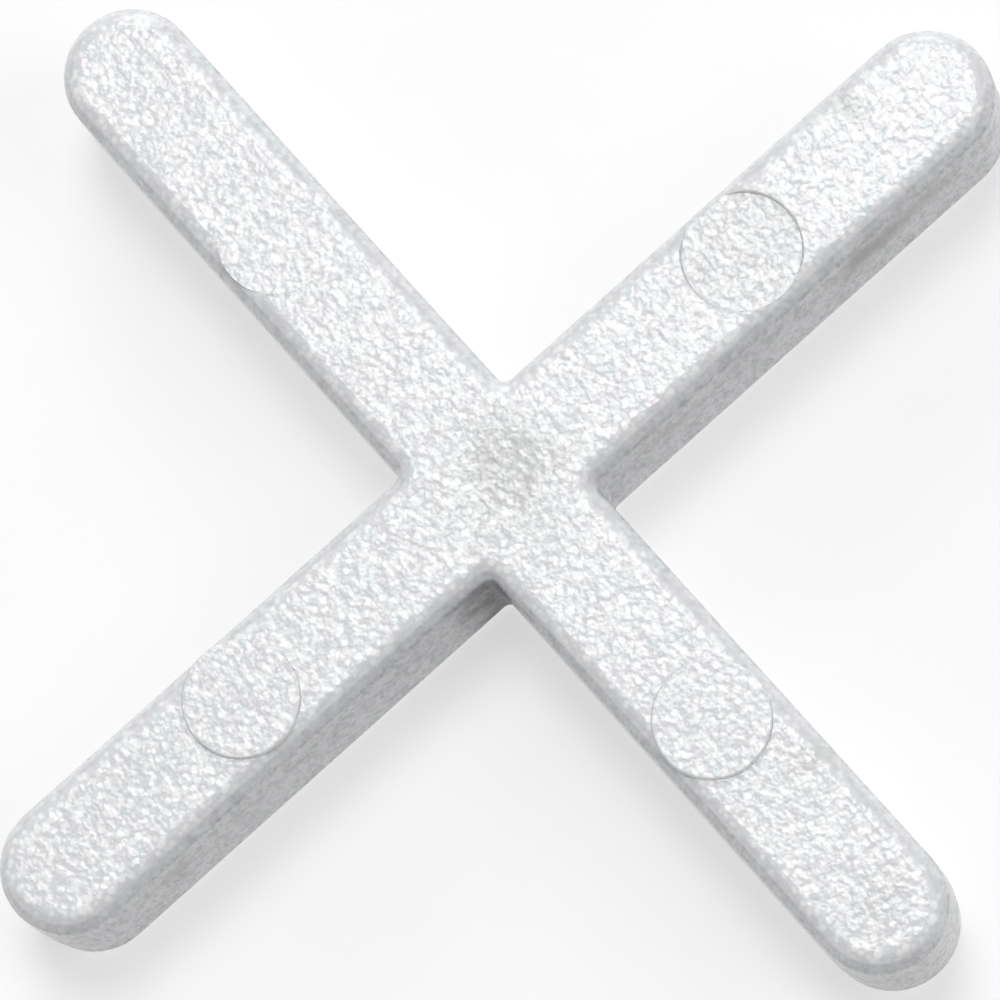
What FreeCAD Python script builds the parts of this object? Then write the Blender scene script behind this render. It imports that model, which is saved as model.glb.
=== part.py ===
import FreeCAD, Part

import math
import os
from enum import IntEnum

import Sketcher

# Tile spacer: one moulded cross whose four equal arms keep four tile corners one joint width apart.
# The origin is the middle of the underside. The arms lie along X and Y, and +Z is up.
# All sizes are in millimetres and angles in degrees.

SIZES = {
    # the joint that the spacer keeps open: the arm's width where it is widest, at the parting line
    "joint_width": 3.0,
    # from one arm's tip to the opposite one
    "span": 27.6,
    "thickness": 3.5,
    # the mould parts here, above the underside, and its lower half is a hair narrower
    "parting_height": 1.3,
    "parting_step": 0.03,
    "draft_angle": 0.75,
    # roundings
    "top_round": 0.45,
    "base_round": 0.2,
    "inner_corner": 0.2,
    # marks of the four ejector pins, one on each arm
    "pin_radius": 1.3,
    "pin_distance": 7.15,
    "pin_offset": 0.1,
    # how far each mark stands proud, and how far the one on the +X arm is sunk
    "north_lift": 0.01,
    "west_lift": 0.07,
    "south_lift": 0.07,
    "east_sunk": 0.08,
    # worn rims of the three marks that stand proud or are sunk by more than a hair
    "rim_round": 0.05,
    # the shallow dish that the plastic leaves in the middle as it shrinks
    "dish_radius": 1.1,
    "dish_depth": 0.03,
    # how far a cut starts above the face that it cuts
    "cut_clearance": 0.2,
}

ARM_COUNT = 4
# in degrees
FULL_TURN = 360
# in radians
QUARTER_TURN = math.pi / 2

UP = FreeCAD.Vector(0, 0, 1)

document = FreeCAD.newDocument("tile_spacer")


class Point(IntEnum):
    """Numbers by which a sketch knows the points of a line or an arc."""

    START = 1
    END = 2
    CENTRE = 3


class Axes(IntEnum):
    """Numbers by which a sketch knows its own axes. The level one starts at the origin."""

    LEVEL = -1
    UPRIGHT = -2


def add_sizes():
    """Puts every driving size into a sheet, under its own name."""
    sheet = document.addObject("Spreadsheet::Sheet", "sizes")
    for row, (name, value) in enumerate(SIZES.items(), start=1):
        sheet.set(f"A{row}", name)
        sheet.set(f"B{row}", str(value))
        sheet.setAlias(f"B{row}", name)
    document.recompute()
    return sheet


def origin_feature(body, role):
    """The body's own plane or axis with this role, such as XY_Plane."""
    for feature in body.Origin.OriginFeatures:
        if feature.Role == role:
            return feature
    raise ValueError(f"{body.Name} has no {role}")


def add_sketch(body, name, role, **shifts):
    """An empty sketch on one of the body's planes, moved along its own axes by the given expressions."""
    sketch = body.newObject("Sketcher::SketchObject", name)
    sketch.AttachmentSupport = [(origin_feature(body, role), "")]
    sketch.MapMode = "FlatFace"
    for axis, expression in shifts.items():
        sketch.setExpression(f".AttachmentOffset.Base.{axis}", expression)
    return sketch


def name_size(sketch, name, expression, kind, *places):
    """Adds a constraint of this kind between the places and ties its value to the sheet."""
    index = sketch.addConstraint(Sketcher.Constraint(kind, *places))
    sketch.renameConstraint(index, name)
    sketch.setExpression(f"Constraints.{name}", expression)


def draw_arm(sketch, half_width, reach):
    """One arm in plan: two parallel sides, a full-round tip and a short overlap past the middle."""
    half = SIZES["joint_width"] / 2
    tip = SIZES["span"] / 2 - half
    back = -half / 2
    corners = [FreeCAD.Vector(back, -half, 0), FreeCAD.Vector(tip, -half, 0),
               FreeCAD.Vector(tip, half, 0), FreeCAD.Vector(back, half, 0)]
    near_side = sketch.addGeometry(Part.LineSegment(corners[0], corners[1]))
    circle = Part.Circle(FreeCAD.Vector(tip, 0, 0), UP, half)
    tip_arc = sketch.addGeometry(Part.ArcOfCircle(circle, -QUARTER_TURN, QUARTER_TURN))
    far_side = sketch.addGeometry(Part.LineSegment(corners[2], corners[3]))
    back_end = sketch.addGeometry(Part.LineSegment(corners[3], corners[0]))
    sketch.addConstraint(Sketcher.Constraint("Tangent", near_side, Point.END, tip_arc, Point.START))
    sketch.addConstraint(Sketcher.Constraint("Tangent", tip_arc, Point.END, far_side, Point.START))
    sketch.addConstraint(Sketcher.Constraint("Coincident", far_side, Point.END, back_end, Point.START))
    sketch.addConstraint(Sketcher.Constraint("Coincident", back_end, Point.END, near_side, Point.START))
    sketch.addConstraint(Sketcher.Constraint("Horizontal", near_side))
    sketch.addConstraint(Sketcher.Constraint("Horizontal", far_side))
    sketch.addConstraint(Sketcher.Constraint("Vertical", back_end))
    sketch.addConstraint(Sketcher.Constraint("PointOnObject", tip_arc, Point.CENTRE, Axes.LEVEL))
    name_size(sketch, "tip_radius", half_width, "Radius", tip_arc, half)
    name_size(sketch, "tip_centre", f"{reach} - ({half_width})",
              "DistanceX", Axes.LEVEL, Point.START, tip_arc, Point.CENTRE, tip)
    name_size(sketch, "overlap", f"({half_width}) / 2",
              "DistanceX", far_side, Point.END, Axes.LEVEL, Point.START, -back)


def pad_arm(body, name, half_width, reach, length, downwards):
    """One half of an arm, from the parting line up to the top or down to the underside."""
    outline = add_sketch(body, f"{name}_outline", "XY_Plane", z="sizes.parting_height")
    draw_arm(outline, half_width, reach)
    half_arm = body.newObject("PartDesign::Pad", name)
    half_arm.Profile = outline
    half_arm.setExpression("Length", length)
    half_arm.Reversed = downwards
    return half_arm


def repeat_arms(body, features):
    """Turns the two halves of the one arm into four arms."""
    pattern = body.newObject("PartDesign::PolarPattern", "four_arms")
    pattern.Originals = features
    pattern.Axis = (origin_feature(body, "Z_Axis"), [""])
    pattern.Angle = FULL_TURN
    pattern.Occurrences = ARM_COUNT
    body.Tip = pattern
    document.recompute()
    return pattern


def inner_edges(shape):
    """Names of the upright edges where two neighbouring arms meet."""
    names = []
    for number, edge in enumerate(shape.Edges, start=1):
        foot, head = edge.Vertexes[0].Point, edge.Vertexes[-1].Point
        upright = abs(head.z - foot.z) > SIZES["parting_height"] / 2
        straight = isinstance(edge.Curve, Part.Line)
        beside_middle = max(abs(foot.x), abs(foot.y)) < SIZES["joint_width"]
        if upright and straight and beside_middle:
            names.append(f"Edge{number}")
    return names


def level_faces(shape):
    """Names of the level faces from the lowest up: the underside, the parting ledge and the top."""
    # the upright part of a level face's normal is one but for rounding errors
    nearly_one = 0.999
    heights = {}
    for number, face in enumerate(shape.Faces, start=1):
        if isinstance(face.Surface, Part.Plane) and abs(face.normalAt(0, 0).z) > nearly_one:
            heights[f"Face{number}"] = face.CenterOfMass.z
    return sorted(heights, key=heights.get)


def wall_faces(shape, above):
    """Names of the walls above or below the parting line."""
    level = level_faces(shape)
    names = []
    for number, face in enumerate(shape.Faces, start=1):
        if f"Face{number}" not in level and (face.CenterOfMass.z > SIZES["parting_height"]) == above:
            names.append(f"Face{number}")
    return names


def add_draft(body, name, base, above):
    """Leans the walls on one side of the parting line inwards, so that the piece leaves its mould."""
    leaning = body.newObject("PartDesign::Draft", name)
    leaning.Base = (base, wall_faces(base.Shape, above))
    parting_ledge = level_faces(base.Shape)[1]
    leaning.NeutralPlane = (base, [parting_ledge])
    leaning.Reversed = above
    leaning.setExpression("Angle", "sizes.draft_angle")
    body.Tip = leaning
    document.recompute()
    return leaning


def add_round(body, name, base, edges, radius):
    """A rounding of the named edges, or of all edges of a named face."""
    rounding = body.newObject("PartDesign::Fillet", name)
    rounding.Base = (base, edges)
    rounding.setExpression("Radius", radius)
    body.Tip = rounding
    document.recompute()
    return rounding


def raise_mark(body, direction, turn):
    """A pin mark that stands proud: a disc from inside the arm up past its flat top."""
    inside = "sizes.thickness - sizes.top_round"
    outline = add_sketch(body, f"{direction}_mark_outline", "XY_Plane", z=inside)
    along = FreeCAD.Vector(math.cos(turn), math.sin(turn), 0)
    middle = along * SIZES["pin_distance"] + FreeCAD.Vector(0, SIZES["pin_offset"], 0)
    circle = outline.addGeometry(Part.Circle(middle, UP, SIZES["pin_radius"]))
    name_size(outline, "disc_radius", "sizes.pin_radius", "Radius", circle, SIZES["pin_radius"])
    name_size(outline, "middle_x", f"sizes.pin_distance * {round(along.x)}",
              "DistanceX", Axes.LEVEL, Point.START, circle, Point.CENTRE, middle.x)
    name_size(outline, "middle_y", f"sizes.pin_distance * {round(along.y)} + sizes.pin_offset",
              "DistanceY", Axes.LEVEL, Point.START, circle, Point.CENTRE, middle.y)
    mark = body.newObject("PartDesign::Pad", f"{direction}_mark")
    mark.Profile = outline
    mark.setExpression("Length", f"sizes.top_round + sizes.{direction}_lift")
    document.recompute()
    return mark


def wear_rim(body, direction, mark):
    """Rounds the upper rim of a mark that has just been raised."""
    middle = mark.Profile[0].Geometry[0].Center
    middle.z = SIZES["thickness"] + SIZES[f"{direction}_lift"]
    same_place = 1e-4
    top = [name for name in level_faces(mark.Shape)
           if mark.Shape.getElement(name).CenterOfMass.isEqual(middle, same_place)]
    return add_round(body, f"{direction}_mark_rim", mark, top, "sizes.rim_round")


def close_profile(profile, bottom_line, rim_line, rim_end, rim_radius):
    """Closes a turned cut's profile: up from its rim, level to the axis and down to its bottom."""
    top, clearance = SIZES["thickness"], SIZES["cut_clearance"]
    bottom = profile.Geometry[bottom_line].StartPoint
    over_rim = FreeCAD.Vector(rim_radius, top + clearance, 0)
    over_middle = FreeCAD.Vector(0, top + clearance, 0)
    rise = profile.addGeometry(Part.LineSegment(FreeCAD.Vector(rim_radius, top, 0), over_rim))
    lid = profile.addGeometry(Part.LineSegment(over_rim, over_middle))
    middle = profile.addGeometry(Part.LineSegment(over_middle, bottom))
    profile.addConstraint(Sketcher.Constraint("Coincident", rim_line, rim_end, rise, Point.START))
    profile.addConstraint(Sketcher.Constraint("Coincident", rise, Point.END, lid, Point.START))
    profile.addConstraint(Sketcher.Constraint("Coincident", lid, Point.END, middle, Point.START))
    profile.addConstraint(Sketcher.Constraint("Coincident", middle, Point.END, bottom_line, Point.START))
    profile.addConstraint(Sketcher.Constraint("Vertical", rise))
    profile.addConstraint(Sketcher.Constraint("Horizontal", lid))
    profile.addConstraint(Sketcher.Constraint("PointOnObject", lid, Point.END, Axes.UPRIGHT))
    profile.addConstraint(Sketcher.Constraint("PointOnObject", middle, Point.END, Axes.UPRIGHT))
    name_size(profile, "rim_height", "sizes.thickness",
              "DistanceY", Axes.LEVEL, Point.START, rise, Point.START, top)
    name_size(profile, "lid_height", "sizes.cut_clearance",
              "DistanceY", rise, Point.START, rise, Point.END, clearance)


def turn_cut(body, name, profile):
    """Cuts a round hollow by turning a profile about its sketch's upright axis."""
    groove = body.newObject("PartDesign::Groove", name)
    groove.Profile = profile
    groove.ReferenceAxis = (profile, ["V_Axis"])
    groove.Angle = FULL_TURN
    document.recompute()
    return groove


def sink_mark(body):
    """The pin mark that is pressed into the +X arm: a level floor, a short wall and a rounded rim."""
    radius, rounding, top = SIZES["pin_radius"], SIZES["rim_round"], SIZES["thickness"]
    bottom = top - SIZES["east_sunk"]
    profile = add_sketch(body, "east_mark_profile", "XZ_Plane",
                         x="sizes.pin_distance", z="-sizes.pin_offset")
    foot = FreeCAD.Vector(radius, bottom, 0)
    wall_top = FreeCAD.Vector(radius, top - rounding, 0)
    floor = profile.addGeometry(Part.LineSegment(FreeCAD.Vector(0, bottom, 0), foot))
    wall = profile.addGeometry(Part.LineSegment(foot, wall_top))
    circle = Part.Circle(FreeCAD.Vector(radius + rounding, top - rounding, 0), UP, rounding)
    rim = profile.addGeometry(Part.ArcOfCircle(circle, QUARTER_TURN, 2 * QUARTER_TURN))
    profile.addConstraint(Sketcher.Constraint("Horizontal", floor))
    profile.addConstraint(Sketcher.Constraint("Coincident", floor, Point.END, wall, Point.START))
    profile.addConstraint(Sketcher.Constraint("Vertical", wall))
    profile.addConstraint(Sketcher.Constraint("Tangent", wall, Point.END, rim, Point.END))
    profile.addConstraint(Sketcher.Constraint("Vertical", rim, Point.CENTRE, rim, Point.START))
    close_profile(profile, floor, rim, Point.START, radius + rounding)
    name_size(profile, "mark_radius", "sizes.pin_radius",
              "DistanceX", Axes.LEVEL, Point.START, floor, Point.END, radius)
    name_size(profile, "mark_floor", "sizes.thickness - sizes.east_sunk",
              "DistanceY", Axes.LEVEL, Point.START, floor, Point.END, bottom)
    name_size(profile, "rim_rounding", "sizes.rim_round", "Radius", rim, rounding)
    return turn_cut(body, "east_mark", profile)


def sink_middle(body):
    """The shallow round dish where the arms cross."""
    rim, depth, top = SIZES["dish_radius"], SIZES["dish_depth"], SIZES["thickness"]
    profile = add_sketch(body, "dish_profile", "XZ_Plane")
    sphere = (rim ** 2 + depth ** 2) / (2 * depth)
    circle = Part.Circle(FreeCAD.Vector(0, top - depth + sphere, 0), UP, sphere)
    lowest = -QUARTER_TURN
    dish = profile.addGeometry(Part.ArcOfCircle(circle, lowest, lowest + math.asin(rim / sphere)))
    profile.addConstraint(Sketcher.Constraint("PointOnObject", dish, Point.CENTRE, Axes.UPRIGHT))
    close_profile(profile, dish, dish, Point.END, rim)
    name_size(profile, "rim_radius", "sizes.dish_radius",
              "DistanceX", Axes.LEVEL, Point.START, dish, Point.END, rim)
    name_size(profile, "dish_bottom", "sizes.thickness - sizes.dish_depth",
              "DistanceY", Axes.LEVEL, Point.START, dish, Point.START, top - depth)
    return turn_cut(body, "middle_dish", profile)


def build_spacer():
    """The whole spacer, in the order in which its form comes about."""
    body = document.addObject("PartDesign::Body", "cross_spacer")
    body.Label = "cross_spacer"
    upper = pad_arm(body, "upper_arm", "sizes.joint_width / 2", "sizes.span / 2",
                    "sizes.thickness - sizes.parting_height", downwards=False)
    lower = pad_arm(body, "lower_arm", "sizes.joint_width / 2 - sizes.parting_step",
                    "sizes.span / 2 - sizes.parting_step", "sizes.parting_height", downwards=True)
    arms = repeat_arms(body, [upper, lower])
    corners = add_round(body, "inner_corners", arms, inner_edges(arms.Shape), "sizes.inner_corner")
    upper_walls = add_draft(body, "upper_draft", corners, above=True)
    walls = add_draft(body, "lower_draft", upper_walls, above=False)
    top = add_round(body, "top_rounding", walls, [level_faces(walls.Shape)[-1]], "sizes.top_round")
    add_round(body, "base_rounding", top, [level_faces(top.Shape)[0]], "sizes.base_round")
    sink_middle(body)
    sink_mark(body)
    raise_mark(body, "north", QUARTER_TURN)
    wear_rim(body, "west", raise_mark(body, "west", 2 * QUARTER_TURN))
    wear_rim(body, "south", raise_mark(body, "south", 3 * QUARTER_TURN))
    return body


def check(body):
    """Stops if anything failed to build."""
    for item in document.Objects:
        if "Invalid" in item.State or "Error" in item.State:
            raise RuntimeError(f"{item.Name} did not build: {item.State}")
        if hasattr(item, "Shape") and not item.Shape.isNull() and not item.Shape.isValid():
            raise RuntimeError(f"{item.Name} has a broken shape")
    if body.Shape.isNull() or len(body.Shape.Solids) != 1:
        raise RuntimeError("the spacer is not one solid")


add_sizes()
spacer = build_spacer()
document.recompute()
check(spacer)
os.makedirs("parts", exist_ok=True)
spacer.Shape.exportStep(f"parts/{spacer.Label}.step")
print(f"{spacer.Label}: {spacer.Shape.Volume:.2f} cubic millimetres, box {spacer.Shape.BoundBox}")
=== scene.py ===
"""Looks of a tile spacer: one moulded plastic cross with a sparkling eroded grain on its flat top.

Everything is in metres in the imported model's frame. The origin is the middle of the underside, the arms lie
along X and Y, and +Z is up. The finishes of the moulding work in millimetres in the same frame.
"""

import logging
import math
from dataclasses import dataclass, field
from enum import Enum

import bmesh
import bpy
from mathutils import Matrix, Vector

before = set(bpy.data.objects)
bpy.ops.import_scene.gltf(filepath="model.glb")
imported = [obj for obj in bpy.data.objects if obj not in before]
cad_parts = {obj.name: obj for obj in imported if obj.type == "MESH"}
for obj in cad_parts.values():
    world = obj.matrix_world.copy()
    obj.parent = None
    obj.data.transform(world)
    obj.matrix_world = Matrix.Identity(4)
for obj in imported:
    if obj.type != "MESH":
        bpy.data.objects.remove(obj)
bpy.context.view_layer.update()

MILLIMETRES_PER_METRE = 1000.0
# value that every cloudy pattern lies round
PATTERN_MIDDLE = 0.5

log = logging.getLogger("tile_spacer")

Triple = tuple[float, float, float]
Colour = Triple
Socket = bpy.types.NodeSocket
Value = Socket | float


class Axis(Enum):
    """Axes of the frame."""

    X = "X"
    Y = "Y"
    Z = "Z"


class Sum(Enum):
    """Sums that a finish does on numbers."""

    ABSOLUTE = "ABSOLUTE"
    ADD = "ADD"
    MAXIMUM = "MAXIMUM"
    MULTIPLY = "MULTIPLY"
    SUBTRACT = "SUBTRACT"


@dataclass(frozen=True)
class Step:
    """A soft step from zero to one.

    The start is the value at which the step is still zero, and the end the value at which it has reached one.
    The end may be below the start.
    """

    start: float
    end: float


class Surface(Enum):
    """Kinds of surface on the moulding, told apart by how steep they are.

    Each is a step in the upright part of the surface's normal: one on a level face, zero on an upright wall.
    """

    FLAT = Step(0.74, 0.97)
    WALL = Step(0.60, 0.05)


class ShaderSheet:
    """A material's node tree, with one short method for each kind of step that the finishes use."""

    def __init__(self, name: str) -> None:
        """Starts an empty node tree.

        Args:
            name: Name of the material.
        """
        self.material = bpy.data.materials.new(name)
        self.material.use_nodes = True
        self.tree = self.material.node_tree
        self.tree.nodes.clear()

    def add(self, kind: str, **settings: object) -> bpy.types.Node:
        """Adds a node.

        Args:
            kind: Blender's name of the node type.
            **settings: Properties of the node.

        Returns:
            The new node.
        """
        node = self.tree.nodes.new(kind)
        for name, value in settings.items():
            setattr(node, name, value)
        return node

    def feed(self, target: Socket, value: Value | tuple[float, ...]) -> None:
        """Sets an input to a number or colour, or links it to another node's output.

        Args:
            target: Input that takes the value.
            value: Number, colour or output socket.
        """
        if isinstance(value, bpy.types.NodeSocket):
            self.tree.links.new(value, target)
        else:
            target.default_value = value

    def show(self, shader: bpy.types.Node) -> bpy.types.Material:
        """Gives the surface its shader.

        Args:
            shader: The finished shader.

        Returns:
            The finished material.
        """
        output = self.add("ShaderNodeOutputMaterial")
        self.feed(output.inputs["Surface"], shader.outputs["BSDF"])
        return self.material

    def math(self, operation: Sum, first: Value, second: Value = 0.0) -> Socket:
        """Does one sum on numbers.

        Args:
            operation: Kind of sum.
            first: First number.
            second: Second number, for the sums that take two.

        Returns:
            Output socket of the result.
        """
        node = self.add("ShaderNodeMath", operation=operation.value)
        self.feed(node.inputs[0], first)
        self.feed(node.inputs[1], second)
        return node.outputs[0]

    def plus(self, first: Value, second: Value) -> Socket:
        """Adds two numbers."""
        return self.math(Sum.ADD, first, second)

    def minus(self, first: Value, second: Value) -> Socket:
        """Takes the second number from the first."""
        return self.math(Sum.SUBTRACT, first, second)

    def times(self, first: Value, second: Value) -> Socket:
        """Multiplies two numbers."""
        return self.math(Sum.MULTIPLY, first, second)

    def rest(self, share: Socket) -> Socket:
        """What a share leaves of one."""
        return self.minus(1.0, share)

    def off(self, value: Socket, level: float) -> Socket:
        """How far a number lies from a level, either way."""
        return self.math(Sum.ABSOLUTE, self.minus(value, level))

    def sway(self, pattern: Socket) -> Socket:
        """A cloudy pattern moved so that it lies round zero."""
        return self.minus(pattern, PATTERN_MIDDLE)

    def ramp(self, value: Socket, step: Step) -> Socket:
        """Turns a number into a soft step from zero to one.

        Args:
            value: Number that varies over the surface.
            step: Where the step starts and ends.

        Returns:
            Output socket of the step.
        """
        rises = step.start < step.end
        node = self.add("ShaderNodeMapRange", interpolation_type="SMOOTHSTEP", clamp=True)
        self.feed(node.inputs["Value"], value)
        self.feed(node.inputs["From Min"], min(step.start, step.end))
        self.feed(node.inputs["From Max"], max(step.start, step.end))
        self.feed(node.inputs["To Min"], 0.0 if rises else 1.0)
        self.feed(node.inputs["To Max"], 1.0 if rises else 0.0)
        return node.outputs["Result"]

    def blend(self, share: Value, first: Value, second: Value) -> Socket:
        """Mixes two numbers.

        Args:
            share: How much of the second number there is.
            first: Number at share zero.
            second: Number at share one.

        Returns:
            Output socket of the mix.
        """
        node = self.add("ShaderNodeMix", data_type="FLOAT")
        self.feed(node.inputs[0], share)
        self.feed(node.inputs[2], first)
        self.feed(node.inputs[3], second)
        return node.outputs[0]

    def tint(self, share: Value, first: Socket | Colour, second: Socket | Colour) -> Socket:
        """Mixes two colours.

        Args:
            share: How much of the second colour there is.
            first: Colour at share zero.
            second: Colour at share one.

        Returns:
            Output socket of the mix.
        """
        node = self.add("ShaderNodeMix", data_type="RGBA")
        self.feed(node.inputs[0], share)
        for target, colour in ((node.inputs[6], first), (node.inputs[7], second)):
            self.feed(target, colour if isinstance(colour, bpy.types.NodeSocket) else (*colour, 1.0))
        return node.outputs[2]

    def stretch(self, place: Socket, factors: Triple) -> Socket:
        """Scales a position along each axis.

        Args:
            place: Position.
            factors: Factor for each axis.

        Returns:
            Output socket of the scaled position.
        """
        node = self.add("ShaderNodeVectorMath", operation="MULTIPLY")
        self.feed(node.inputs[0], place)
        self.feed(node.inputs[1], factors)
        return node.outputs[0]

    def part_of(self, vector: Socket, axis: Axis) -> Socket:
        """One coordinate of a vector.

        Args:
            vector: Position or direction.
            axis: Which coordinate.

        Returns:
            Output socket of the coordinate.
        """
        node = self.add("ShaderNodeSeparateXYZ")
        self.feed(node.inputs[0], vector)
        return node.outputs[axis.value]

    def along(self, place: Socket, direction: Triple) -> Socket:
        """How far a position lies along a direction.

        Args:
            place: Position.
            direction: The direction. Its length scales the result.

        Returns:
            Output socket of the distance along it.
        """
        node = self.add("ShaderNodeVectorMath", operation="DOT_PRODUCT")
        self.feed(node.inputs[0], place)
        self.feed(node.inputs[1], direction)
        return node.outputs["Value"]

    def distance(self, place: Socket, middle: Triple, reach: Triple) -> Socket:
        """How far a position lies from a point, as a share of the reach along each axis.

        Args:
            place: Position.
            middle: The point.
            reach: Distance that counts as one along each axis. An endless reach leaves the axis out.

        Returns:
            Output socket of the distance.
        """
        factors = tuple(1.0 / part for part in reach)
        node = self.add("ShaderNodeVectorMath", operation="DISTANCE")
        self.feed(node.inputs[0], self.stretch(place, factors))
        self.feed(node.inputs[1], tuple(part * factor for part, factor in zip(middle, factors)))
        return node.outputs["Value"]

    def noise(self, place: Socket, pitch: float, detail: float = 1.0, roughness: float = 0.5) -> Socket:
        """A cloudy random pattern in space.

        Args:
            place: Position in millimetres.
            pitch: Size of one cloud in millimetres.
            detail: How many finer layers are added.
            roughness: How strong the finer layers are.

        Returns:
            Output socket, around one half.
        """
        node = self.add("ShaderNodeTexNoise", noise_dimensions="3D")
        self.feed(node.inputs["Vector"], place)
        self.feed(node.inputs["Scale"], 1.0 / pitch)
        self.feed(node.inputs["Detail"], detail)
        self.feed(node.inputs["Roughness"], roughness)
        return node.outputs["Fac"]

    def cells(self, place: Socket, pitch: float) -> Socket:
        """How far a point lies from the nearest of many scattered points.

        Args:
            place: Position in millimetres.
            pitch: Spacing of the scattered points in millimetres.

        Returns:
            Output socket of the distance as a share of the pitch.
        """
        node = self.add("ShaderNodeTexVoronoi", voronoi_dimensions="3D", feature="F1")
        self.feed(node.inputs["Vector"], place)
        self.feed(node.inputs["Scale"], 1.0 / pitch)
        return node.outputs["Distance"]

    def bump(self, height: Socket, depth: float, strength: Value, under: Socket | None = None) -> Socket:
        """Tilts the surface by a height pattern.

        Args:
            height: Pattern between zero and one.
            depth: Metres from the pattern's lowest to its highest.
            strength: Share of the tilt that is kept.
            under: Normal that this one is laid over.

        Returns:
            Output socket of the new normal.
        """
        node = self.add("ShaderNodeBump")
        self.feed(node.inputs["Height"], height)
        self.feed(node.inputs["Distance"], depth)
        self.feed(node.inputs["Strength"], strength)
        if under is not None:
            self.feed(node.inputs["Normal"], under)
        return node.outputs["Normal"]


@dataclass(frozen=True)
class SurfacePoint:
    """What the moulding's finish knows about a point of the surface, as sockets of one node tree."""

    sheet: ShaderSheet
    # position in millimetres, the same with its height squeezed, and the height
    here: Socket
    streaks: Socket
    height: Socket
    # how much the point belongs to a flat, to a wall and to a pin mark's rim
    flat: Socket
    wall: Socket
    rim: Socket
    # how much it faces the near side, away from the lights, where the pin marks' rims get painted light
    near_side: Socket
    # coarse pattern of the whole piece, and fine pattern of the walls
    cloud: Socket
    mottle: Socket


@dataclass(frozen=True)
class Patch:
    """A soft patch on the moulding, in millimetres.

    The reach along an axis is endless where the patch doesn't end along it. The core is the share of the
    reach in which the patch is at its strongest.
    """

    middle: Triple
    reach: Triple
    core: float
    share: float
    colour: Colour

    def strength(self, point: SurfacePoint) -> Socket:
        """How strong the patch is at a point. The coarse pattern breaks up its edge.

        Args:
            point: The point.

        Returns:
            Output socket between zero and the patch's share.
        """
        sheet = point.sheet
        whole_reach = 1.0
        away = sheet.plus(sheet.distance(point.here, self.middle, self.reach), sheet.sway(point.cloud))
        return sheet.times(sheet.ramp(away, Step(whole_reach, self.core)), self.share)


@dataclass(frozen=True)
class Band:
    """A soft level band round the walls, in millimetres."""

    height: float
    spread: float
    share: float

    def strength(self, point: SurfacePoint) -> Socket:
        """How strong the band is at a point, between zero and the band's share."""
        off_middle = point.sheet.off(point.height, self.height)
        return point.sheet.times(point.sheet.ramp(off_middle, Step(self.spread, 0.0)), self.share)


@dataclass(frozen=True)
class PinMark:
    """The rim of one ejector-pin mark and the painted shade in the crease along it, in plan and in
    millimetres.

    The rim stayed crisp on one side, whose heading is in degrees from +X, and is worn on the other.
    """

    x: float
    y: float
    crease_share: float
    crisp_heading: float
    radius: float = 1.3
    crease_width: float = 0.15
    # where the coarse pattern lets the crease come and go
    crease_breaks: Step = Step(0.38, 0.60)
    # share of the crease that is left on the worn side
    worn_crease: float = 0.4
    # wear that is left on the crisp side
    crisp_wear: float = 0.25
    # shares of the radius: along the crisp heading, and away from the mark's middle
    crisp_part: Step = Step(0.1, 0.9)
    near_mark: Step = Step(1.5, 1.3)

    def off_middle(self, point: SurfacePoint, unit: float) -> Socket:
        """How far a point lies from the mark's middle in plan, in units of so many millimetres."""
        return point.sheet.distance(point.here, (self.x, self.y, 0.0), (unit, unit, math.inf))

    def crisp_side(self, point: SurfacePoint) -> Socket:
        """How much a point lies on the side of the mark whose rim stayed crisp.

        Args:
            point: The point.

        Returns:
            Output socket between zero and one.
        """
        heading = math.radians(self.crisp_heading)
        toward = (math.cos(heading) / self.radius, math.sin(heading) / self.radius, 0.0)
        middle = self.x * toward[0] + self.y * toward[1]
        sheet = point.sheet
        return sheet.ramp(sheet.minus(sheet.along(point.here, toward), middle), self.crisp_part)

    def crease(self, point: SurfacePoint) -> Socket:
        """How strong the painted shade in the crease along the rim is at a point.

        Args:
            point: The point.

        Returns:
            Output socket between zero and the crease's share.
        """
        sheet = point.sheet
        off_rim = sheet.off(self.off_middle(point, unit=1.0), self.radius)
        side = sheet.blend(self.crisp_side(point), self.worn_crease, 1.0)
        breaks = sheet.ramp(point.cloud, self.crease_breaks)
        share = sheet.times(sheet.times(breaks, side), self.crease_share)
        return sheet.times(sheet.ramp(off_rim, Step(self.crease_width, 0.0)), share)

    def wear(self, point: SurfacePoint) -> Socket:
        """How worn the rim is at a point.

        Args:
            point: The point.

        Returns:
            Output socket between zero and one.
        """
        sheet = point.sheet
        near = sheet.ramp(self.off_middle(point, unit=self.radius), self.near_mark)
        return sheet.times(near, sheet.blend(self.crisp_side(point), 1.0, self.crisp_wear))


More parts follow.
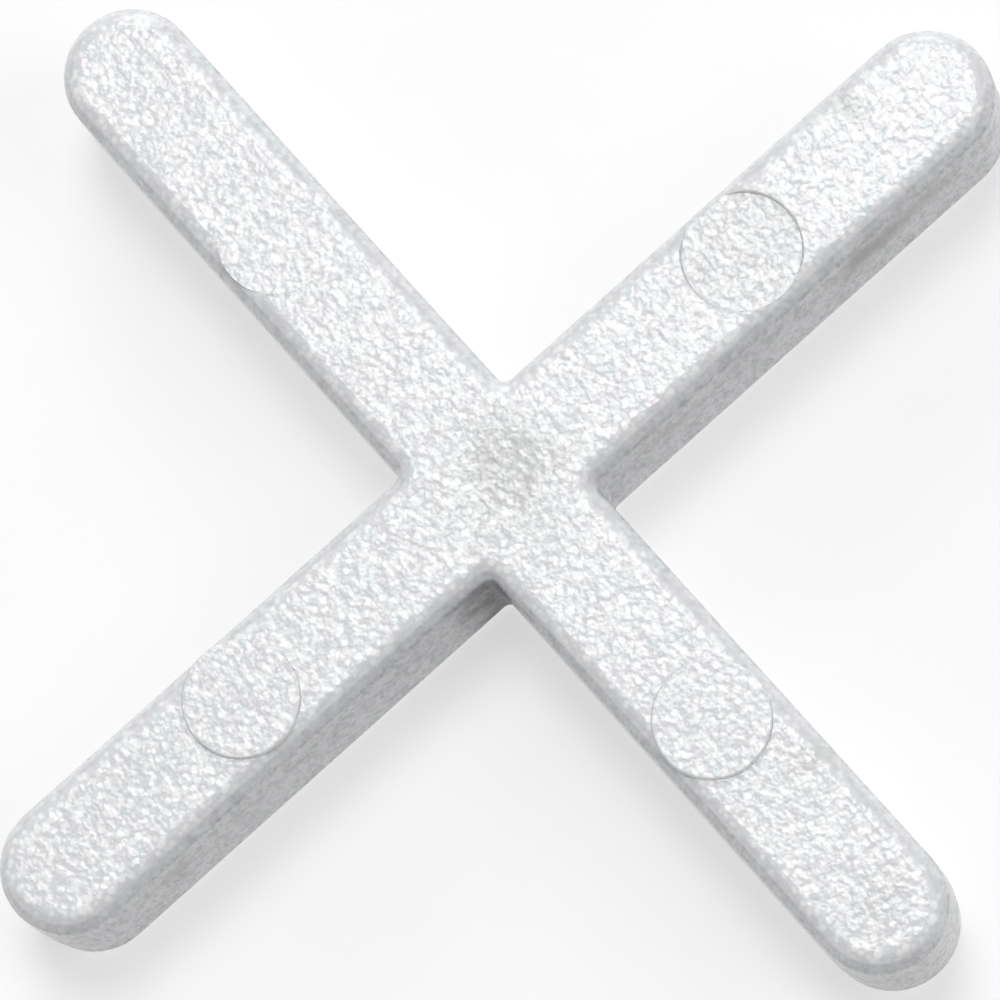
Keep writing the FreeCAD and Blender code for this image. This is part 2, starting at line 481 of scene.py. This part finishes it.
@dataclass(frozen=True)
class FlatColour:
    """Colour of the flat top: pale plastic in two faint hues, crowded painted white glints and a dull middle.
    """

    cool: Colour = (0.735, 0.775, 0.79)
    warm: Colour = (0.77, 0.76, 0.785)
    hue_pitch: float = 0.45
    hue_step: Step = Step(0.38, 0.62)
    # painted white glints that stand in for light off the grain's facets; the pin marks' rims take the same
    # white as painted light
    painted_glint: Colour = (0.97, 0.975, 0.98)
    glint_pitch: float = 0.18
    glint_size: Step = Step(0.60, 0.22)
    # how the glints crowd together
    crowd_pitch: float = 0.36
    crowding: float = 0.8
    glints_on_flats: float = 0.95
    glints_elsewhere: float = 0.25
    middle: Patch = Patch((0.25, -0.1, 0.0), (1.9, 1.9, math.inf), 0.1, 0.5, (0.50, 0.505, 0.48))

    def colour(self, point: SurfacePoint) -> Socket:
        """Colour of the flat top at a point.

        Args:
            point: The point.

        Returns:
            Output socket of the colour.
        """
        sheet = point.sheet
        hue = sheet.ramp(sheet.noise(point.here, self.hue_pitch), self.hue_step)
        middle = self.middle.strength(point)
        pale = sheet.tint(middle, sheet.tint(hue, self.cool, self.warm), self.middle.colour)
        crowd = sheet.times(sheet.sway(sheet.noise(point.here, self.crowd_pitch)), self.crowding)
        painted_glints = sheet.ramp(sheet.plus(sheet.cells(point.here, self.glint_pitch), crowd), self.glint_size)
        share = sheet.blend(point.flat, self.glints_elsewhere, sheet.minus(self.glints_on_flats, middle))
        return sheet.tint(sheet.times(painted_glints, share), pale, self.painted_glint)


@dataclass(frozen=True)
class WallColour:
    """Colour of the walls: two hues in short upright streaks, with dark dots, blotches and lines on them, and
    painted shadow at the parting line.
    """

    green: Colour = (0.585, 0.625, 0.61)
    violet: Colour = (0.635, 0.61, 0.675)
    hue_pitch: float = 0.30
    hue_step: Step = Step(0.36, 0.64)
    dark: Colour = (0.32, 0.325, 0.34)
    dot_step: Step = Step(0.38, 0.70)
    dots_on_walls: float = 0.60
    blotch_pitch: float = 0.32
    blotch_detail: float = 2.0
    blotch_roughness: float = 0.6
    blotch_step: Step = Step(0.42, 0.68)
    blotches_on_walls: float = 0.45
    # share of the dots and blotches that reaches the rounded edges
    dirt_on_rounds: float = 0.2
    # darker belt round the upper half of the walls
    belt: Band = Band(height=2.35, spread=0.8, share=0.16)
    # dark line at the parting line: painted shadow under its small step
    parting_line_and_shadow: Band = Band(height=1.3, spread=0.13, share=0.35)
    # where the coarse pattern lets the parting line come and go
    parting_breaks: Step = Step(0.40, 0.58)

    def colour(self, point: SurfacePoint) -> Socket:
        """Colour of the clean walls at a point."""
        hue = point.sheet.ramp(point.sheet.noise(point.streaks, self.hue_pitch), self.hue_step)
        return point.sheet.tint(hue, self.green, self.violet)

    def dirt_and_painted_shade(self, point: SurfacePoint) -> Socket:
        """How much of the dark colour lies on a point, painted shadow at the parting line included. The flats
        have none.

        Args:
            point: The point.

        Returns:
            Output socket of the share.
        """
        sheet = point.sheet
        blotch = sheet.noise(point.streaks, self.blotch_pitch, self.blotch_detail, self.blotch_roughness)
        dots = sheet.times(sheet.ramp(point.mottle, self.dot_step),
                           sheet.blend(point.wall, self.dirt_on_rounds, self.dots_on_walls))
        blotches = sheet.times(sheet.ramp(blotch, self.blotch_step),
                               sheet.blend(point.wall, self.dirt_on_rounds, self.blotches_on_walls))
        spotted = sheet.plus(sheet.plus(dots, blotches), self.belt.strength(point))
        line = sheet.times(self.parting_line_and_shadow.strength(point), sheet.ramp(point.cloud, self.parting_breaks))
        return sheet.times(sheet.math(Sum.MAXIMUM, line, spotted), sheet.rest(point.flat))


@dataclass(frozen=True)
class MouldRelief:
    """Relief that the mould left in the plastic: eroded flats and finely streaked walls.

    Pitches are in millimetres, and depths in metres. The skin's relief gives the glints that the lights make,
    and the flats' colour adds painted ones.
    """

    grain_pitch: float = 0.17
    grain_roughness: float = 0.4
    skin_depth: float = 34e-6
    body_depth: float = 13e-6
    # share of the grain's relief away from the flats
    grain_elsewhere: float = 0.30
    fine_pitch: float = 0.10
    fine_depth: float = 30e-6
    # share of the fine relief away from the walls
    fine_elsewhere: float = 0.17

    def normals(self, point: SurfacePoint) -> tuple[Socket, Socket]:
        """Tilts the surface by the relief.

        Args:
            point: The point.

        Returns:
            Output sockets of the body's normal and of the skin's normal.
        """
        sheet = point.sheet
        fine = sheet.blend(point.flat, point.mottle, sheet.noise(point.here, self.fine_pitch))
        under = sheet.bump(fine, self.fine_depth, sheet.blend(point.wall, self.fine_elsewhere, 1.0))
        grain = sheet.noise(point.here, self.grain_pitch, roughness=self.grain_roughness)
        strength = sheet.blend(point.flat, self.grain_elsewhere, 1.0)
        body = sheet.bump(grain, self.body_depth, strength, under)
        skin = sheet.bump(grain, self.skin_depth, strength, under)
        return body, skin


@dataclass(frozen=True)
class MouldedPlastic:
    """Finish of the whole moulding: cool grey-white plastic from a mould with spark-eroded flats.

    Pitches, heights and places are in millimetres.
    """

    name: str = "spacer_plastic"
    flats: FlatColour = FlatColour()
    walls: WallColour = WallColour()
    relief: MouldRelief = MouldRelief()
    # painted shade on the pin marks' rims on their lit side
    painted_shade_on_lit_rims: Colour = (0.64, 0.645, 0.65)
    # painted shade in the creases along the pin marks
    painted_crease_shade: Colour = (0.40, 0.405, 0.41)
    # patterns that the finishes share
    cloud_pitch: float = 0.7
    cloud_detail: float = 2.0
    mottle_pitch: float = 0.12
    mottle_roughness: float = 0.6
    streak_squeeze: float = 0.5
    # how kinds of surface fade into each other, and where a face is level enough to stay as it is
    fade_pitch: float = 0.25
    fade_spread: float = 0.35
    fade_step: Step = Step(0.999, 0.9)
    # heights between which the walls end, the pin marks' rims begin and the creases begin
    wall_top: Step = Step(3.46, 3.38)
    rim_foot: Step = Step(3.39, 3.45)
    crease_foot: Step = Step(3.0, 3.2)
    # sum of the normal's X and Y parts
    near_side: Step = Step(0.0, -0.7)
    # gloss of the body and of its skin
    body_roughness: float = 0.5
    body_specular: float = 0.3
    skin_roughness: float = 0.25
    refraction: float = 1.49
    # share of the light that wanders inside the plastic, the same on a worn rim, and its way in metres
    haze: float = 0.15
    worn_haze: float = 1.0
    haze_reach: float = 0.0004
    # painted shade in the inner corner of the walls, where little light reaches; the skin's gloss is taken
    # out there too
    painted_corner_shade: Patch = Patch((-1.5, -1.5, 0.0), (1.5, 1.5, math.inf), 0.05, 0.76, (0.12, 0.122, 0.13))
    spots: tuple[Patch, ...] = (
        # darker patch over the sunk mark and round it
        Patch((7.15, 0.1, 3.4), (1.7, 1.7, 1.0), 0.5, 0.15, (0.42, 0.425, 0.41)),
        # faint yellowish patch, smudge and dull end on the top
        Patch((1.0, -9.1, 3.5), (1.0, 0.6, 1.0), 0.1, 0.22, (0.46, 0.44, 0.36)),
        Patch((10.95, 0.9, 3.4), (0.5, 0.5, 1.0), 0.1, 0.45, (0.42, 0.43, 0.42)),
        Patch((0.1, -12.3, 3.4), (0.9, 0.9, 1.0), 0.1, 0.18, (0.45, 0.455, 0.45)),
        # brown smear along a wall, in two parts
        Patch((9.3, -1.5, 2.35), (1.3, 0.6, 1.1), 0.1, 1.0, (0.20, 0.185, 0.185)),
        Patch((10.9, -1.5, 2.5), (1.2, 0.6, 0.7), 0.1, 0.7, (0.25, 0.235, 0.24)),
        # reddish line on the same wall, and a small stain on the arm across from it
        Patch((3.6, -1.5, 2.35), (1.3, 0.6, 0.3), 0.1, 0.5, (0.38, 0.31, 0.32)),
        Patch((-10.7, -1.5, 2.3), (0.6, 0.6, 0.6), 0.1, 0.5, (0.33, 0.32, 0.30)),
    )
    marks: tuple[PinMark, ...] = (
        PinMark(x=7.15, y=0.1, crease_share=0.2, crisp_heading=5.0),
        PinMark(x=0.0, y=7.25, crease_share=0.05, crisp_heading=180.0),
        PinMark(x=-7.15, y=0.1, crease_share=0.35, crisp_heading=225.0),
        PinMark(x=0.0, y=-7.05, crease_share=0.3, crisp_heading=150.0),
    )

    def build(self) -> bpy.types.Material:
        """Builds the material.

        Returns:
            The finished material.
        """
        sheet = ShaderSheet(self.name)
        point = self.surface_point(sheet)
        # painted shade in the inner corner: a darker colour, and no skin gloss
        painted_corner_shade = sheet.times(self.painted_corner_shade.strength(point), point.wall)
        body, skin = self.relief.normals(point)
        haze = sheet.blend(self.wear(point), self.haze, self.worn_haze)
        shader = sheet.add("ShaderNodeBsdfPrincipled")
        sheet.feed(shader.inputs["Base Color"], sheet.tint(painted_corner_shade, self.colour(point), self.painted_corner_shade.colour))
        sheet.feed(shader.inputs["Normal"], body)
        sheet.feed(shader.inputs["Coat Normal"], skin)
        sheet.feed(shader.inputs["Coat Weight"], sheet.rest(painted_corner_shade))
        sheet.feed(shader.inputs["Subsurface Weight"], haze)
        shader.inputs["Roughness"].default_value = self.body_roughness
        shader.inputs["IOR"].default_value = self.refraction
        shader.inputs["Specular IOR Level"].default_value = self.body_specular
        shader.inputs["Coat Roughness"].default_value = self.skin_roughness
        shader.inputs["Coat IOR"].default_value = self.refraction
        shader.inputs["Subsurface Radius"].default_value = (1.0, 1.0, 1.0)
        shader.inputs["Subsurface Scale"].default_value = self.haze_reach
        return sheet.show(shader)

    def surface_point(self, sheet: ShaderSheet) -> SurfacePoint:
        """Works out what the finishes need to know about a point.

        Args:
            sheet: Node tree that takes the steps.

        Returns:
            The point, as sockets of the node tree.
        """
        place = sheet.add("ShaderNodeTexCoord")
        normal = place.outputs["Normal"]
        here = sheet.stretch(place.outputs["Object"], (MILLIMETRES_PER_METRE,) * 3)
        streaks = sheet.stretch(here, (1.0, 1.0, self.streak_squeeze))
        height = sheet.part_of(here, Axis.Z)
        upright = self.upright_part(sheet, here, normal)
        flat = sheet.ramp(upright, Surface.FLAT.value)
        facing = sheet.plus(sheet.part_of(normal, Axis.X), sheet.part_of(normal, Axis.Y))
        return SurfacePoint(
            sheet=sheet,
            here=here,
            streaks=streaks,
            height=height,
            flat=flat,
            wall=sheet.times(sheet.ramp(upright, Surface.WALL.value), sheet.ramp(height, self.wall_top)),
            rim=sheet.times(sheet.rest(flat), sheet.ramp(height, self.rim_foot)),
            near_side=sheet.ramp(facing, self.near_side),
            cloud=sheet.noise(here, self.cloud_pitch, self.cloud_detail),
            mottle=sheet.noise(streaks, self.mottle_pitch, roughness=self.mottle_roughness),
        )

    def upright_part(self, sheet: ShaderSheet, here: Socket, normal: Socket) -> Socket:
        """The upright part of the surface's normal, made uneven so that finishes fade into each other.

        Args:
            sheet: Node tree that takes the steps.
            here: Position in millimetres.
            normal: The surface's own normal.

        Returns:
            Output socket, about one on a level face and zero on a wall.
        """
        upright = sheet.math(Sum.ABSOLUTE, sheet.part_of(normal, Axis.Z))
        uneven = sheet.times(sheet.sway(sheet.noise(here, self.fade_pitch)), self.fade_spread)
        return sheet.plus(upright, sheet.times(uneven, sheet.ramp(upright, self.fade_step)))

    def wear(self, point: SurfacePoint) -> Socket:
        """How worn the pin marks' rims are at a point.

        Args:
            point: The point.

        Returns:
            Output socket, zero away from the rims.
        """
        sheet = point.sheet
        worn: Value = 0.0
        for mark in self.marks:
            worn = sheet.plus(worn, mark.wear(point))
        return sheet.times(point.rim, worn)

    def colour(self, point: SurfacePoint) -> Socket:
        """Colour of the plastic: flats and walls, then dirt and painted shade, spots, the pin marks' rims
        with painted light and shade, and the painted shade in their creases.

        Args:
            point: The point.

        Returns:
            Output socket of the colour.
        """
        sheet = point.sheet
        clean = sheet.tint(point.wall, self.flats.colour(point), self.walls.colour(point))
        # dark dots, blotches and belt on the walls, and painted shadow at the parting line
        colour = sheet.tint(self.walls.dirt_and_painted_shade(point), clean, self.walls.dark)
        for spot in self.spots:
            colour = sheet.tint(spot.strength(point), colour, spot.colour)
        # painted light on the rims' near side, which faces away from the lights, and painted shade on their
        # lit side
        rim = sheet.tint(point.near_side, self.painted_shade_on_lit_rims, self.flats.painted_glint)
        colour = sheet.tint(point.rim, colour, rim)
        # painted shade in the creases along the pin marks' rims, above the walls
        upper = sheet.ramp(point.height, self.crease_foot)
        for mark in self.marks:
            colour = sheet.tint(sheet.times(mark.crease(point), upper), colour, self.painted_crease_shade)
        return colour


@dataclass(frozen=True)
class TablePaper:
    """Finish of the table under the piece: matt near-white paper."""

    name: str = "table_paper"
    light: Colour = (0.45, 0.45, 0.45)
    dark: Colour = (0.43, 0.43, 0.43)
    fibre_pitch: float = 1.5
    fibre_detail: float = 3.0
    roughness: float = 0.9
    specular: float = 0.1
    glow: float = 0.58

    def build(self) -> bpy.types.Material:
        """Builds the material.

        Returns:
            The finished material.
        """
        sheet = ShaderSheet(self.name)
        place = sheet.add("ShaderNodeTexCoord")
        here = sheet.stretch(place.outputs["Object"], (MILLIMETRES_PER_METRE,) * 3)
        fibres = sheet.noise(here, self.fibre_pitch, self.fibre_detail)
        shader = sheet.add("ShaderNodeBsdfPrincipled")
        sheet.feed(shader.inputs["Base Color"], sheet.tint(fibres, self.light, self.dark))
        shader.inputs["Roughness"].default_value = self.roughness
        shader.inputs["Specular IOR Level"].default_value = self.specular
        shader.inputs["Emission Color"].default_value = (1.0, 1.0, 1.0, 1.0)
        shader.inputs["Emission Strength"].default_value = self.glow
        return sheet.show(shader)


@dataclass
class CrossSpacer:
    """The one moulding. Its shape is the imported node's own, and it gets its finish here."""

    node: str = "cross_spacer"
    finish: MouldedPlastic = field(default_factory=MouldedPlastic)

    def build(self) -> bpy.types.Object:
        """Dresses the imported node.

        Returns:
            The dressed node.
        """
        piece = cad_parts[self.node]
        material = self.finish.build()
        for place in range(len(piece.data.materials)):
            piece.data.materials[place] = material
        if not piece.data.materials:
            piece.data.materials.append(material)
        return piece


@dataclass
class Tabletop:
    """The plain pale table that the piece lies on."""

    name: str = "tabletop"
    radius: float = 1.5
    sides: int = 96
    finish: TablePaper = field(default_factory=TablePaper)

    def build(self) -> bpy.types.Object:
        """Builds the round table top just under the piece.

        Returns:
            The table top.
        """
        mesh = bpy.data.meshes.new(self.name)
        shape = bmesh.new()
        bmesh.ops.create_circle(shape, cap_ends=True, radius=self.radius, segments=self.sides)
        shape.to_mesh(mesh)
        shape.free()
        mesh.materials.append(self.finish.build())
        table = bpy.data.objects.new(self.name, mesh)
        bpy.context.scene.collection.objects.link(table)
        return table


@dataclass(frozen=True)
class Softbox:
    """One soft white studio light."""

    name: str
    # degrees from +X round to the light, and up from the table
    heading: float
    elevation: float
    # watts
    power: float
    # metres: to the light, and along each side of it
    distance: float = 0.60
    side: float = 0.30

    def build(self, target: Vector) -> bpy.types.Object:
        """Hangs the light and turns it to the piece.

        Args:
            target: Point that the light faces.

        Returns:
            The light.
        """
        data = bpy.data.lights.new(self.name, "AREA")
        data.shape = "RECTANGLE"
        data.size = self.side
        data.size_y = self.side
        data.energy = self.power
        light = bpy.data.objects.new(self.name, data)
        heading, elevation = math.radians(self.heading), math.radians(self.elevation)
        level = math.cos(elevation)
        outward = Vector((math.cos(heading) * level, math.sin(heading) * level, math.sin(elevation)))
        light.location = target + outward * self.distance
        light.rotation_mode = "QUATERNION"
        light.rotation_quaternion = outward.to_track_quat("Z", "Y")
        light.visible_camera = False
        bpy.context.scene.collection.objects.link(light)
        return light


@dataclass
class Studio:
    """Soft studio light that comes mostly from above and from the picture's upper side."""

    # degrees: the picture's upper side, round from +X, and a quarter turn
    far_side: float = 51.0
    quarter_turn: float = 90.0
    # strength of the even light from all round
    surround: float = 0.16
    # point that the lights face, in metres
    target: Vector = field(default_factory=lambda: Vector((0.0, 0.0, 0.00175)))

    def build(self) -> list[bpy.types.Object]:
        """Hangs the lights and sets the even surround.

        Returns:
            The lights.
        """
        right_side = self.far_side - self.quarter_turn
        left_side = self.far_side + self.quarter_turn
        boxes = [
            Softbox("high_light", heading=self.far_side, elevation=70.0, power=1.78, side=0.24),
            Softbox("low_light", heading=self.far_side, elevation=20.0, power=1.2),
            Softbox("right_light", heading=right_side, elevation=45.0, power=0.7),
            Softbox("left_light", heading=left_side, elevation=20.0, power=0.40),
        ]
        world = bpy.data.worlds.new("surround")
        world.use_nodes = True
        background = world.node_tree.nodes["Background"]
        background.inputs["Color"].default_value = (1.0, 1.0, 1.0, 1.0)
        background.inputs["Strength"].default_value = self.surround
        bpy.context.scene.world = world
        return [box.build(self.target) for box in boxes]


@dataclass
class Viewpoint:
    """The camera at the photograph's viewing angle."""

    name: str = "viewpoint"
    # degrees: off straight above, round from +X, and the camera's own turn about its line of sight
    tilt: float = 14.079
    heading: float = -93.226
    roll: float = 38.717
    # metres: point that it looks at, the way to it, and the nearest and farthest that it sees
    target: Vector = field(default_factory=lambda: Vector((-0.0002, 0.0, 0.00175)))
    distance: float = 0.15217
    nearest: float = 0.01
    farthest: float = 10.0
    # focal length over the picture's width
    reach: float = 7.06839
    # millimetres
    sensor: float = 36.0

    def build(self) -> bpy.types.Object:
        """Sets up the camera and makes it the scene's own.

        Returns:
            The camera.
        """
        tilt, heading, roll = (math.radians(angle) for angle in (self.tilt, self.heading, self.roll))
        level = math.sin(tilt)
        back = Vector((level * math.cos(heading), level * math.sin(heading), math.cos(tilt)))
        straight_up = Vector((0.0, 0.0, 1.0))
        level_up = (straight_up - back * back.z).normalized()
        level_right = level_up.cross(back)
        right = level_right * math.cos(roll) - level_up * math.sin(roll)
        up = level_up * math.cos(roll) + level_right * math.sin(roll)
        data = bpy.data.cameras.new(self.name)
        data.sensor_width = self.sensor
        data.lens = self.sensor * self.reach
        data.clip_start = self.nearest
        data.clip_end = self.farthest
        camera = bpy.data.objects.new(self.name, data)
        turn = Matrix((right, up, back)).transposed()
        camera.matrix_world = Matrix.Translation(self.target + back * self.distance) @ turn.to_4x4()
        bpy.context.scene.collection.objects.link(camera)
        bpy.context.scene.camera = camera
        return camera


def main() -> None:
    """Builds the piece, the table, the lights and the camera, in that order."""
    logging.basicConfig(level=logging.INFO, format="%(name)s: %(message)s")
    bpy.context.scene.view_settings.view_transform = "Standard"
    piece = CrossSpacer().build()
    log.info("%s dressed, %d faces", piece.name, len(piece.data.polygons))
    table = Tabletop().build()
    log.info("%s laid", table.name)
    for light in Studio().build():
        log.info("%s hung", light.name)
    camera = Viewpoint().build()
    log.info("%s set, lens %.1f mm", camera.name, camera.data.lens)


if __name__ == "__main__":
    main()
